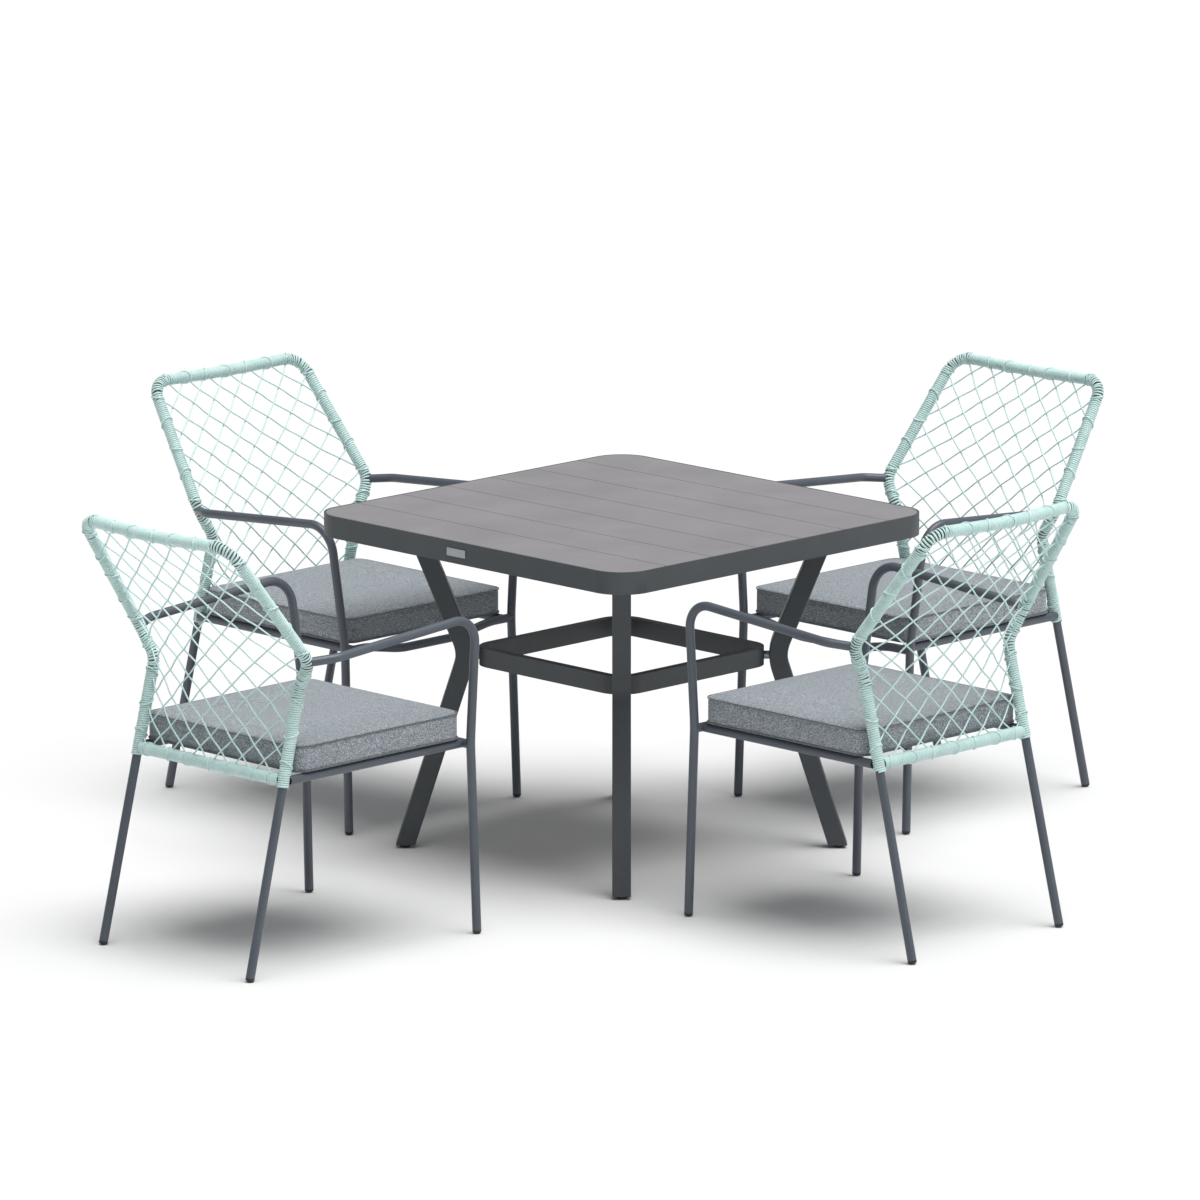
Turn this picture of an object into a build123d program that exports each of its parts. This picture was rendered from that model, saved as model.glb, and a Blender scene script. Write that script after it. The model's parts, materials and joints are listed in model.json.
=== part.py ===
from build123d import *
import math
import os

# Patio dining set: a square slatted table on four elbow-shaped legs with a
# ring stretcher, and four armchairs of bent tube with a cord-wound back.
# Millimetres, +Z up. The origin is on the floor, under the middle of the
# set's bounding box. Chair 1 stands on the table's -X side, then 2 on +Y,
# 3 on +X and 4 on -Y.

# ---------------------------------------------------------------- driving sizes
# Table
TOP_SIDE = 950.0
TOP_CORNER_RADIUS = 75.0
TABLE_HEIGHT = 740.0
APRON_HEIGHT = 48.0
APRON_TUBE_WIDTH = 20.0
RIM_WIDTH = 4.0
WALL = 2.0
DRAIN_RADIUS = 3.0
DRAIN_PITCH = 250.0
PLANK_COUNT = 7
PLANK_THICKNESS = 12.0
PLANK_GAP = 2.0
PLANK_END_GAP = 0.5
BEARER_WIDTH = 30.0
BEARER_HEIGHT = 20.0
BEARER_PITCH = 95.0
BRACE_WIDTH = 60.0
LEG_SIZE = 40.0
LEG_EDGE_RADIUS = 3.0
LEG_FOOT_RADIUS = 470.0
LEG_ELBOW_RADIUS = 333.0
LEG_ELBOW_HEIGHT = 430.0
LEG_TOP_RADIUS = 443.0
LEG_BEND = 90.0
LEG_PLATE_LENGTH = 110.0
LEG_PLATE_THICKNESS = 5.0
LEG_BOTTOM = 6.3
PLUG_DEPTH = 22.0
RING_SIDE = 470.0
RING_CORNER_RADIUS = 60.0
RING_TUBE_WIDTH = 20.0
RING_TUBE_HEIGHT = 40.0
RING_TOP = 445.0
GLIDE_DIAMETER = 26.0
GLIDE_HEIGHT = 6.0
GLIDE_STUD_DIAMETER = 8.0
GLIDE_STUD_LENGTH = 26.0
BADGE_LENGTH = 56.0
BADGE_HEIGHT = 17.0
BADGE_THICKNESS = 1.5
BADGE_OFFSET = 20.0
BOLT_RADIUS = 4.0
BOLT_LENGTH = 53.0
BOLT_HEAD_RADIUS = 7.0
BOLT_HEAD_LENGTH = 5.0
BOLT_SOCKET_RADIUS = 3.0
BOLT_HEAD_SEAT = 0.8
BOLT_HOLE_DEPTH = 42.0
SPACER_RADIUS = 9.0
SPACER_REACH = 24.0

# Chair, in its own frame: the sitter faces +Y, and X is across the seat
TUBE_RADIUS = 9.5
TUBE_BORE = 8.0
WRAP_RADIUS = 12.5
FIT_GAP = 0.2
REAR_FOOT = (224.0, -370.0)
REAR_LEG_TOP = (219.5, -221.0, 590.0)
KINK = (257.0, -228.0, 652.0)
BACK_CORNER = (222.0, -415.0, 910.0)
BACK_MIDDLE = (0.0, -421.0, 904.0)
KINK_BEND = 55.0
BACK_CORNER_BEND = 48.0
BACK_MIDDLE_BEND = 2000.0
FRONT_FOOT = (256.0, 247.0)
FRONT_LEG_BEND = (252.0, 234.0, 411.0)
ARM_FRONT = (283.0, 221.0, 686.0)
ARM_REAR = (283.0, -176.0, 657.0)
ARM_ROOT = (258.0, -224.0, 652.0)
ARM_FRONT_BEND = 60.0
ARM_REAR_BEND = 45.0
LEG_BEND_RADIUS = 300.0
SEAT_RAIL_HEIGHT = 405.0
SEAT_RAIL_X = 228.0
FRONT_RAIL_DIP = 18.0
FRONT_RAIL_FLAT_X = 185.0
FRONT_RAIL_LOW_X = 85.0
FRONT_RAIL_BEND = 240.0
FOOT_CAP_HEIGHT = 7.0
FOOT_CAP_ROUND = 5.0
SPIGOT_LENGTH = 16.0
SLAT_COUNT = 5
SLAT_WIDTH = 40.0
SLAT_PITCH = 84.0
SLAT_THICKNESS = 4.0
SLAT_STANDS_PROUD = 2.2
SLATS_BACK = 22.0
WELD_GAP = 0.02
NET_THICKNESS = 4.0
NET_WAIST_Y = -268.0
CUSHION_WIDTH = 476.0
CUSHION_DEPTH = 462.0
CUSHION_THICKNESS = 58.0
CUSHION_FRONT_Y = 222.0
CUSHION_BOTTOM = 417.5
CUSHION_CORNER_RADIUS = 34.0
CUSHION_EDGE_RADIUS = 8.0
COVER_THICKNESS = 4.5

# Where the chairs stand: outward distance of each chair's own origin from the
# table's middle, its sideways offset along X or Y, and its turn about Z
CHAIR_PLACES = {
    "chair_1": (-1010.0, -80.0, -90.0),
    "chair_2": (-86.0, 745.0, 180.0),
    "chair_3": (768.0, -100.0, 90.0),
    "chair_4": (-88.0, -790.0, 0.0),
}

# ------------------------------------------------------------------ set's middle
CHAIR_BACK_REACH = -BACK_MIDDLE[1] + WRAP_RADIUS
SET_MIN_X = CHAIR_PLACES["chair_1"][0] - CHAIR_BACK_REACH
SET_MAX_X = CHAIR_PLACES["chair_3"][0] + CHAIR_BACK_REACH
SET_MIN_Y = CHAIR_PLACES["chair_4"][1] - CHAIR_BACK_REACH
SET_MAX_Y = CHAIR_PLACES["chair_2"][1] + CHAIR_BACK_REACH
TABLE_X = -(SET_MIN_X + SET_MAX_X) / 2
TABLE_Y = -(SET_MIN_Y + SET_MAX_Y) / 2
TABLE_PLACE = Location((TABLE_X, TABLE_Y, 0))

PLANK_UNDERSIDE = TABLE_HEIGHT - PLANK_THICKNESS
APRON_BOTTOM = TABLE_HEIGHT - APRON_HEIGHT
BRACE_BOTTOM = PLANK_UNDERSIDE - BEARER_HEIGHT
LEG_TOP = BRACE_BOTTOM - LEG_PLATE_THICKNESS
DIAGONALS = (45, 135, 225, 315)

os.makedirs("parts", exist_ok=True)


def write(shape, name):
    """Put the shape in the set's frame and write it as one node."""
    export_step(TABLE_PLACE * shape, f"parts/{name}.step")


def on_diagonals(shape):
    """The same piece on the table's four diagonals."""
    return [Rot(0, 0, angle) * shape for angle in DIAGONALS]


def rounded_block(side, radius, low, high):
    """A square block with rounded upright edges between two heights."""
    return Pos(0, 0, low) * extrude(RectangleRounded(side, side, radius), high - low)


def square_ring(side, width, radius, low, high):
    """A closed frame of rectangular bar, with rounded corners."""
    outer = rounded_block(side, radius, low, high)
    inner = rounded_block(side - 2 * width, max(radius - width, 1.0), low - 1, high + 1)
    return outer - inner


# ------------------------------------------------------------------------- table
def apron_frame():
    """Box-section apron with a thin rim that stands up around the planks."""
    tube = square_ring(TOP_SIDE, APRON_TUBE_WIDTH, TOP_CORNER_RADIUS, APRON_BOTTOM, PLANK_UNDERSIDE)
    bore = square_ring(
        TOP_SIDE - 2 * WALL,
        APRON_TUBE_WIDTH - 2 * WALL,
        TOP_CORNER_RADIUS - WALL,
        APRON_BOTTOM + WALL,
        PLANK_UNDERSIDE - WALL,
    )
    rim = square_ring(TOP_SIDE, RIM_WIDTH, TOP_CORNER_RADIUS, PLANK_UNDERSIDE, TABLE_HEIGHT)
    frame = tube - bore + rim
    middle = (TOP_SIDE - APRON_TUBE_WIDTH) / 2
    for turn in (0, 90, 180, 270):
        for side in (-1, 1):
            drain = Pos(middle, side * DRAIN_PITCH, APRON_BOTTOM) * Cylinder(DRAIN_RADIUS, 4 * WALL)
            frame -= Rot(0, 0, turn) * drain
    return frame


def planks():
    """Seven planks laid side by side, each a channel that is open underneath."""
    span = TOP_SIDE - 2 * RIM_WIDTH - 2 * PLANK_END_GAP
    width = (span - (PLANK_COUNT - 1) * PLANK_GAP) / PLANK_COUNT
    radius = TOP_CORNER_RADIUS - RIM_WIDTH - PLANK_END_GAP
    field = rounded_block(span, radius, PLANK_UNDERSIDE, TABLE_HEIGHT)
    hollow = rounded_block(
        span - 2 * WALL, radius - WALL, PLANK_UNDERSIDE - 1, TABLE_HEIGHT - WALL
    )
    pieces = []
    for index in range(PLANK_COUNT):
        middle = (index - (PLANK_COUNT - 1) / 2) * (width + PLANK_GAP)
        strip = Pos(middle, 0, TABLE_HEIGHT) * Box(width, 2 * span, 4 * PLANK_THICKNESS)
        inside = Pos(middle, 0, TABLE_HEIGHT) * Box(width - 2 * WALL, 2 * span, 4 * PLANK_THICKNESS)
        pieces.append((field & strip) - (hollow & inside))
    return Compound(children=pieces)


def hollow_bar(length, width, height):
    """Rectangular tube lying along X, centred on the origin."""
    return Box(length, width, height) - Box(length + 2, width - 2 * WALL, height - 2 * WALL)


def bearers():
    """Three bearers across the planks, between the apron's two sides."""
    length = TOP_SIDE - 2 * APRON_TUBE_WIDTH
    height = PLANK_UNDERSIDE - BEARER_HEIGHT / 2
    bar = hollow_bar(length, BEARER_WIDTH, BEARER_HEIGHT)
    return Compound(children=[Pos(0, row * BEARER_PITCH, height) * bar for row in (-1, 0, 1)])


SCREW_ALONG = 45.0
SCREW_ACROSS = 20.0
SCREW_RADIUS = 3.0


def screw_places():
    """The four screws of one leg plate, on the +X axis before it is turned."""
    corners = [(u, v) for u in (-1, 1) for v in (-1, 1)]
    return [(LEG_TOP_RADIUS + u * SCREW_ACROSS, v * SCREW_ALONG) for u, v in corners]


def corner_brace():
    """One brace across a corner of the apron, drilled for the leg's screws."""
    height = PLANK_UNDERSIDE - BEARER_HEIGHT / 2
    inner_corner = (TOP_SIDE / 2 - APRON_TUBE_WIDTH) * math.sqrt(2)
    length = 2 * (inner_corner - LEG_TOP_RADIUS) + BRACE_WIDTH
    bar = Pos(LEG_TOP_RADIUS, 0, height) * Rot(0, 0, 90) * hollow_bar(length, BRACE_WIDTH, BEARER_HEIGHT)
    inside_apron = rounded_block(
        TOP_SIDE - 2 * APRON_TUBE_WIDTH,
        TOP_CORNER_RADIUS - APRON_TUBE_WIDTH,
        BRACE_BOTTOM - 1,
        PLANK_UNDERSIDE + 1,
    )
    bar = bar & (Rot(0, 0, 45) * inside_apron)
    for x, y in screw_places():
        bar -= Pos(x, y, BRACE_BOTTOM) * Cylinder(SCREW_RADIUS + FIT_GAP, 3 * WALL)
    return bar


def elbow_leg():
    """One leg of square tube, bent inwards at mid height, with its top plate."""
    rise = LEG_TOP - LEG_ELBOW_HEIGHT
    lean = (LEG_TOP_RADIUS - LEG_ELBOW_RADIUS) / rise
    above = (LEG_TOP_RADIUS + lean * LEG_SIZE, 0, LEG_TOP + LEG_SIZE)
    spread = (LEG_FOOT_RADIUS - LEG_ELBOW_RADIUS) / LEG_ELBOW_HEIGHT
    below = (LEG_FOOT_RADIUS + spread * LEG_SIZE, 0, -LEG_SIZE)
    elbow = (LEG_ELBOW_RADIUS, 0, LEG_ELBOW_HEIGHT)
    path = FilletPolyline(below, elbow, above, radius=LEG_BEND)
    start = Plane(origin=path @ 0, x_dir=(0, 1, 0), z_dir=path % 0)
    outer = sweep(start * RectangleRounded(LEG_SIZE, LEG_SIZE, LEG_EDGE_RADIUS), path=path)
    bore_size = LEG_SIZE - 2 * WALL
    bore = sweep(start * RectangleRounded(bore_size, bore_size, 1.0), path=path)
    keep = Pos(LEG_TOP_RADIUS, 0, (LEG_BOTTOM + LEG_TOP) / 2) * Box(400, 100, LEG_TOP - LEG_BOTTOM)
    plate = Pos(LEG_TOP_RADIUS, 0, LEG_TOP + LEG_PLATE_THICKNESS / 2) * Box(
        BRACE_WIDTH, LEG_PLATE_LENGTH, LEG_PLATE_THICKNESS
    )
    for x, y in screw_places():
        plate -= Pos(x, y, LEG_TOP) * Cylinder(SCREW_RADIUS + FIT_GAP, 4 * LEG_PLATE_THICKNESS)
    return ((outer - bore) & keep) + plate, bore & keep


def leg_screws():
    """Sixteen hexagon-head screws that hold the leg plates to the braces."""
    head_height = 4.0
    shank = LEG_PLATE_THICKNESS + 10.0
    screws = []
    for x, y in screw_places():
        head = Pos(x, y, LEG_TOP - head_height) * extrude(RegularPolygon(5.5, 6), head_height)
        pin = Pos(x, y, LEG_TOP + shank / 2) * Cylinder(SCREW_RADIUS, shank)
        screws += on_diagonals(head + pin)
    return Compound(children=screws)


def stretcher_ring():
    """Rounded square ring of flat tube, drilled at its corners for the bolts."""
    low = RING_TOP - RING_TUBE_HEIGHT
    ring = square_ring(RING_SIDE, RING_TUBE_WIDTH, RING_CORNER_RADIUS, low, RING_TOP)
    ring -= square_ring(
        RING_SIDE - 2 * WALL,
        RING_TUBE_WIDTH - 2 * WALL,
        RING_CORNER_RADIUS - WALL,
        low + WALL,
        RING_TOP - WALL,
    )
    for hole in on_diagonals(Pos(RING_REACH, 0, RING_MIDDLE) * Rot(0, 90, 0) * Cylinder(BOLT_RADIUS + FIT_GAP, 80)):
        ring -= hole
    return ring


RING_REACH = (RING_SIDE / 2) * math.sqrt(2) - RING_CORNER_RADIUS * (math.sqrt(2) - 1)
RING_MIDDLE = RING_TOP - RING_TUBE_HEIGHT / 2


def ring_fixings(leg, leg_bore):
    """One spacer and one bolt between a ring corner and its leg."""
    place = Pos(RING_REACH + SPACER_REACH / 2, 0, RING_MIDDLE) * Rot(0, 90, 0)
    spacer = place * Cylinder(SPACER_RADIUS, SPACER_REACH)
    spacer -= place * Cylinder(BOLT_RADIUS + FIT_GAP, SPACER_REACH + 2)
    spacer -= rounded_ring_corner()
    spacer = (spacer - leg - leg_bore).solids().sort_by(Axis.X)[0]
    from_start = (Align.CENTER, Align.CENTER, Align.MIN)
    inner_wall = RING_REACH - RING_TUBE_WIDTH - BOLT_HEAD_SEAT
    shank = Pos(inner_wall, 0, RING_MIDDLE) * Rot(0, 90, 0) * Cylinder(BOLT_RADIUS, BOLT_LENGTH, align=from_start)
    head_place = Pos(inner_wall - BOLT_HEAD_LENGTH, 0, RING_MIDDLE) * Rot(0, 90, 0)
    head = head_place * Cylinder(BOLT_HEAD_RADIUS, BOLT_HEAD_LENGTH, align=from_start)
    socket = head_place * Cylinder(BOLT_SOCKET_RADIUS, BOLT_HEAD_LENGTH)
    return spacer, shank + head - socket


def rounded_ring_corner():
    """The ring's outer shape and a hair more, with a corner pointing along +X."""
    return Rot(0, 0, 45) * rounded_block(RING_SIDE + FIT_GAP, RING_CORNER_RADIUS, 300, 600)


def leg_plug(leg_bore):
    """Plastic plug in the foot of a leg, bored for the glide's stud."""
    slab = Pos(LEG_FOOT_RADIUS, 0, LEG_BOTTOM + PLUG_DEPTH / 2) * Box(120, 120, PLUG_DEPTH)
    plug = leg_bore & slab
    return plug - Pos(LEG_FOOT_RADIUS, 0, 0) * Cylinder(GLIDE_STUD_DIAMETER / 2 + FIT_GAP, 200)


def levelling_foot():
    """Screw-in glide: a low disc with a chamfered edge and a threaded stud."""
    disc = Pos(0, 0, GLIDE_HEIGHT / 2) * Cylinder(GLIDE_DIAMETER / 2, GLIDE_HEIGHT)
    disc = chamfer(disc.edges().group_by(Axis.Z)[0], 1.5)
    stud = Pos(0, 0, GLIDE_HEIGHT + GLIDE_STUD_LENGTH / 2) * Cylinder(
        GLIDE_STUD_DIAMETER / 2, GLIDE_STUD_LENGTH
    )
    return Pos(LEG_FOOT_RADIUS, 0, 0) * (disc + stud)


def badge_plate():
    """Blank plate on the middle of the apron's -X side."""
    slab = Box(BADGE_THICKNESS, BADGE_LENGTH, BADGE_HEIGHT)
    slab = fillet(slab.edges().filter_by(Axis.X), 2.0)
    height = (TABLE_HEIGHT + APRON_BOTTOM) / 2
    return Pos(-TOP_SIDE / 2 - BADGE_THICKNESS / 2, BADGE_OFFSET, height) * slab


def write_table():
    write(apron_frame(), "table_apron_frame")
    write(planks(), "table_planks")
    write(bearers(), "table_bearers")
    write(Compound(children=on_diagonals(corner_brace())), "table_corner_braces")
    write(leg_screws(), "table_leg_screws")
    write(stretcher_ring(), "table_ring_stretcher")
    write(badge_plate(), "table_badge_plate")
    leg, bore = elbow_leg()
    spacer, bolt = ring_fixings(leg, bore)
    hole = Pos(RING_REACH + BOLT_HOLE_DEPTH / 2, 0, RING_MIDDLE) * Rot(0, 90, 0)
    leg -= hole * Cylinder(BOLT_RADIUS + FIT_GAP, BOLT_HOLE_DEPTH)
    write(Compound(children=on_diagonals(spacer)), "table_ring_spacers")
    write(Compound(children=on_diagonals(bolt)), "table_ring_bolts")
    write(Compound(children=on_diagonals(leg_plug(bore))), "table_leg_plugs")
    for number, (one_leg, foot) in enumerate(zip(on_diagonals(leg), on_diagonals(levelling_foot())), 1):
        write(one_leg, f"table_leg_{number}")
        write(foot, f"levelling_foot_{number}")


# ------------------------------------------------------------------------- chair
def mirrored(point):
    return (-point[0], *point[1:])


def floor_point(foot):
    return (foot[0], foot[1], 0.0)


def rod(points, radii, radius):
    """A round bar along straight runs joined by tangent arcs."""
    path = FilletPolyline(*points, radius=radii)
    return sweep(Plane(origin=path @ 0, z_dir=path % 0) * Circle(radius), path=path)


def tube(points, radii):
    return rod(points, radii, TUBE_RADIUS) - rod(points, radii, TUBE_BORE)


def leg_line_point(height):
    """Point on the straight lower part of the rear leg."""
    share = height / REAR_LEG_TOP[2]
    x = REAR_FOOT[0] + share * (REAR_LEG_TOP[0] - REAR_FOOT[0])
    y = REAR_FOOT[1] + share * (REAR_LEG_TOP[1] - REAR_FOOT[1])
    return (x, y, height)


def back_loop_points(start):
    half = [start, REAR_LEG_TOP, KINK, BACK_CORNER]
    return [*half, BACK_MIDDLE, *[mirrored(point) for point in reversed(half)]]


BACK_LOOP_RADII = [KINK_BEND, KINK_BEND, BACK_CORNER_BEND, BACK_MIDDLE_BEND]
BACK_LOOP_RADII += [BACK_CORNER_BEND, KINK_BEND, KINK_BEND]
ARM_POINTS = [ARM_ROOT, ARM_REAR, ARM_FRONT, FRONT_LEG_BEND, floor_point(FRONT_FOOT)]
ARM_RADII = [ARM_REAR_BEND, ARM_FRONT_BEND, LEG_BEND_RADIUS]
RAIL_END = leg_line_point(SEAT_RAIL_HEIGHT)
WRAP_START = leg_line_point(SEAT_RAIL_HEIGHT - 16)


def arm_and_front_leg(back_rod):
    """Right arm and front leg, one bent tube welded to the kink of the back."""
    return (tube(ARM_POINTS, ARM_RADII) - back_rod).solids().sort_by(SortBy.VOLUME)[-1]


def rear_rail(radius):
    """The rail at the foot of the back, bowed a little to the rear."""
    middle = (0, RAIL_END[1] - 3, SEAT_RAIL_HEIGHT)
    return rod([RAIL_END, middle, mirrored(RAIL_END)], [2000.0], radius)


def front_rail(radius):
    """The rail between the front legs, which dips under the cushion."""
    end = (FRONT_LEG_BEND[0], FRONT_LEG_BEND[1], SEAT_RAIL_HEIGHT)
    slope = (FRONT_RAIL_FLAT_X, FRONT_LEG_BEND[1], SEAT_RAIL_HEIGHT)
    low = (FRONT_RAIL_LOW_X, FRONT_LEG_BEND[1], SEAT_RAIL_HEIGHT - FRONT_RAIL_DIP)
    points = [end, slope, low, mirrored(low), mirrored(slope), mirrored(end)]
    return rod(points, [FRONT_RAIL_BEND] * 4, radius)


def side_rail(radius):
    """The right rail, from the rear leg to the front rail."""
    rear = (SEAT_RAIL_X, RAIL_END[1] + 8, SEAT_RAIL_HEIGHT)
    front = (SEAT_RAIL_X, FRONT_LEG_BEND[1], SEAT_RAIL_HEIGHT)
    path = Line(rear, front)
    return sweep(Plane(origin=rear, z_dir=path % 0) * Circle(radius), path=path)


def seat_frame(back_rod, arm_rods):
    """The four welded rails under the seat, each trimmed where it meets another."""
    bars = []
    for rail in (rear_rail, front_rail, side_rail):
        bar = rail(TUBE_RADIUS) - rail(TUBE_BORE) - back_rod
        for arm in arm_rods:
            bar -= arm
        bars.append(bar)
    bars[2] = bars[2] - front_rail(TUBE_RADIUS) - rear_rail(TUBE_RADIUS)
    bars = [bar.solids().sort_by(SortBy.VOLUME)[-1] for bar in bars]
    return Compound(children=[*bars, mirror(bars[2], Plane.YZ)])


def back_wrap(arm_rods):
    """Cord winding on the back loop and on the rail at its foot, as a sleeve."""
    points = back_loop_points(WRAP_START)
    inner = TUBE_RADIUS + FIT_GAP
    sleeve = rod(points, BACK_LOOP_RADII, WRAP_RADIUS) + rear_rail(WRAP_RADIUS)
    whole_loop = rod(back_loop_points(floor_point(REAR_FOOT)), BACK_LOOP_RADII, inner)
    sleeve -= whole_loop
    sleeve -= rear_rail(inner)
    sleeve -= side_rail(inner)
    sleeve -= mirror(side_rail(inner), Plane.YZ)
    for arm in arm_rods:
        sleeve -= arm
    return sleeve.solids().sort_by(SortBy.VOLUME)[-1]


def back_net():
    """Woven net of the back: two flat panels that meet at the waist."""
    def panel(low, high, half_low, half_high):
        corners = [(-half_low, *low), (half_low, *low), (half_high, *high), (-half_high, *high)]
        face = make_face(Polyline(*corners, close=True))
        return extrude(face, NET_THICKNESS, dir=(0, 1, 0))

    bottom = (RAIL_END[1] - 2, SEAT_RAIL_HEIGHT + WRAP_RADIUS + 1)
    waist = (NET_WAIST_Y, KINK[2])
    top = (BACK_CORNER[1] - 4, BACK_CORNER[2] - 24)
    lower = panel(bottom, waist, RAIL_END[0] - 18, KINK[0] - 30)
    upper = panel(waist, top, KINK[0] - 30, BACK_CORNER[0] - 24)
    return lower + upper


def foot_planes():
    """A plane at each right-hand foot, on the floor and square to its leg."""
    ends = [
        (floor_point(REAR_FOOT), leg_line_point(100)),
        (floor_point(FRONT_FOOT), FRONT_LEG_BEND),
    ]
    return [Plane(origin=foot, z_dir=Vector(*up) - Vector(*foot)) for foot, up in ends]


def foot_caps():
    """Four plastic ends, each a dome as wide as the leg with a spigot inside it."""
    from_start = (Align.CENTER, Align.CENTER, Align.MIN)
    dome = Cylinder(TUBE_RADIUS, FOOT_CAP_HEIGHT, align=from_start)
    dome = fillet(dome.edges().group_by(Axis.Z)[0], FOOT_CAP_ROUND)
    spigot = Pos(0, 0, FOOT_CAP_HEIGHT) * Cylinder(TUBE_BORE - FIT_GAP, SPIGOT_LENGTH, align=from_start)
    above_floor = Pos(0, 0, 100) * Box(1000, 1200, 200)
    caps = []
    for plane in foot_planes():
        cap = plane * (dome + spigot) & above_floor
        caps += [cap, mirror(cap, Plane.YZ)]
    return Compound(children=caps)


def trim_to_caps(shape):
    """Cut each leg off square where its foot cap begins."""
    for plane in foot_planes():
        waste = plane * (Pos(0, 0, FOOT_CAP_HEIGHT - 50) * Box(60, 60, 100))
        shape = shape - waste - mirror(waste, Plane.YZ)
    return shape


def seat_slats():
    """Flat bars laid across the side rails and welded to them, under the cushion."""
    top = SEAT_RAIL_HEIGHT + TUBE_RADIUS + SLAT_STANDS_PROUD
    slat = Pos(0, 0, top - SLAT_THICKNESS / 2) * Box(2 * SEAT_RAIL_X, SLAT_WIDTH, SLAT_THICKNESS)
    places = [(index - (SLAT_COUNT - 1) / 2) * SLAT_PITCH - SLATS_BACK for index in range(SLAT_COUNT)]
    rail = side_rail(TUBE_RADIUS + WELD_GAP)
    other_rail = mirror(rail, Plane.YZ)
    return Compound(children=[Pos(0, y, 0) * slat - rail - other_rail for y in places])


def cushion():
    """Box cushion: a sewn cover with its wadding, and the foam block inside it."""
    middle_y = CUSHION_FRONT_Y - CUSHION_DEPTH / 2
    outline = RectangleRounded(CUSHION_WIDTH, CUSHION_DEPTH, CUSHION_CORNER_RADIUS)
    block = Pos(0, middle_y, CUSHION_BOTTOM) * extrude(outline, CUSHION_THICKNESS)
    rims = block.edges().group_by(Axis.Z)
    block = fillet(rims[-1] + rims[0], CUSHION_EDGE_RADIUS)
    gap = COVER_THICKNESS
    inner_outline = RectangleRounded(
        CUSHION_WIDTH - 2 * gap, CUSHION_DEPTH - 2 * gap, CUSHION_CORNER_RADIUS - gap
    )
    inside = Pos(0, middle_y, CUSHION_BOTTOM + gap) * extrude(inner_outline, CUSHION_THICKNESS - 2 * gap)
    rims = inside.edges().group_by(Axis.Z)
    inside = fillet(rims[-1] + rims[0], CUSHION_EDGE_RADIUS - gap)
    return block - inside, inside


def chair_pieces():
    """Every piece of one chair, in the chair's own frame."""
    back_points = back_loop_points(floor_point(REAR_FOOT))
    back_rod = rod(back_points, BACK_LOOP_RADII, TUBE_RADIUS)
    arm_rod = rod(ARM_POINTS, ARM_RADII, TUBE_RADIUS)
    wide_arm = rod(ARM_POINTS, ARM_RADII, TUBE_RADIUS + FIT_GAP)
    right_arm = trim_to_caps(arm_and_front_leg(back_rod))
    cover, foam = cushion()
    return {
        "back_frame": trim_to_caps(tube(back_points, BACK_LOOP_RADII)),
        "right_arm_and_leg": right_arm,
        "left_arm_and_leg": mirror(right_arm, Plane.YZ),
        "seat_frame": seat_frame(back_rod, [arm_rod, mirror(arm_rod, Plane.YZ)]),
        "seat_slats": seat_slats(),
        "back_wrap": back_wrap([wide_arm, mirror(wide_arm, Plane.YZ)]),
        "back_net": back_net(),
        "foot_caps": foot_caps(),
        "cushion_cover": cover,
        "cushion_foam": foam,
    }


def write_chairs():
    pieces = chair_pieces()
    for chair, (x, y, turn) in CHAIR_PLACES.items():
        place = Location((x, y, 0), (0, 0, turn))
        for name, shape in pieces.items():
            write(place * shape, f"{chair}_{name}")


write_table()
write_chairs()
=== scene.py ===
# %% [markdown]
# # A patio dining set
# This file dresses a finished set of parts: a slatted table and four armchairs. The tubes, planks and
# fittings arrive from the CAD model, already in place. What is made here is what a modelling program
# does better: cord that is wound and netted, a cushion that is stuffed and sewn, soft edges, and
# every surface finish. Each cell makes one thing and says why it is made that way.

# %% Load the parts
import json
import math
import random

import bmesh
import bpy
from mathutils import Matrix, Vector


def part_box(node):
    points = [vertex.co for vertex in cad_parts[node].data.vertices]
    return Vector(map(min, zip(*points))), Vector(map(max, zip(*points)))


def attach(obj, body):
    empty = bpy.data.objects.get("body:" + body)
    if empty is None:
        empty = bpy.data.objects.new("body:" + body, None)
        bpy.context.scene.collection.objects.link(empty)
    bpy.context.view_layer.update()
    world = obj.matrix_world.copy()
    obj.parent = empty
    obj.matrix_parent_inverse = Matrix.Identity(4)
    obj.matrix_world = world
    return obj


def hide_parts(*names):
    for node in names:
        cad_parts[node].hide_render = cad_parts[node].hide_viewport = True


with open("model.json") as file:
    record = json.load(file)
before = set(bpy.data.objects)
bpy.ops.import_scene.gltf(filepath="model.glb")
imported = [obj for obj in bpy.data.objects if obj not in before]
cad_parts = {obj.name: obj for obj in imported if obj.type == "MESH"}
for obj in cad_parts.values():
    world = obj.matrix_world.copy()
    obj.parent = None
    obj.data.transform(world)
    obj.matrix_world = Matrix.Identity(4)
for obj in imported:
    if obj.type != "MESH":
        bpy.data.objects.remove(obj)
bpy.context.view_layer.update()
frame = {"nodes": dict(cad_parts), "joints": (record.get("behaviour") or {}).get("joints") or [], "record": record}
MM = 0.001

# %% [markdown]
# Colours are picked as the hex codes that a paint chart or a colour picker gives, which are sRGB. Shaders
# add and multiply light, so they want linear values, and one function turns one into the other.


# %% Colour helper
def linear(hex_code):
    """A hex colour such as 'CDE6E3' as linear red, green, blue and alpha."""
    shares = [int(hex_code[i:i + 2], 16) / 255 for i in (0, 2, 4)]
    return tuple(s / 12.92 if s <= 0.04045 else ((s + 0.055) / 1.055) ** 2.4 for s in shares) + (1.0,)


print("a pale mint in linear light:", [round(v, 3) for v in linear("CDE6E3")])

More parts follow.
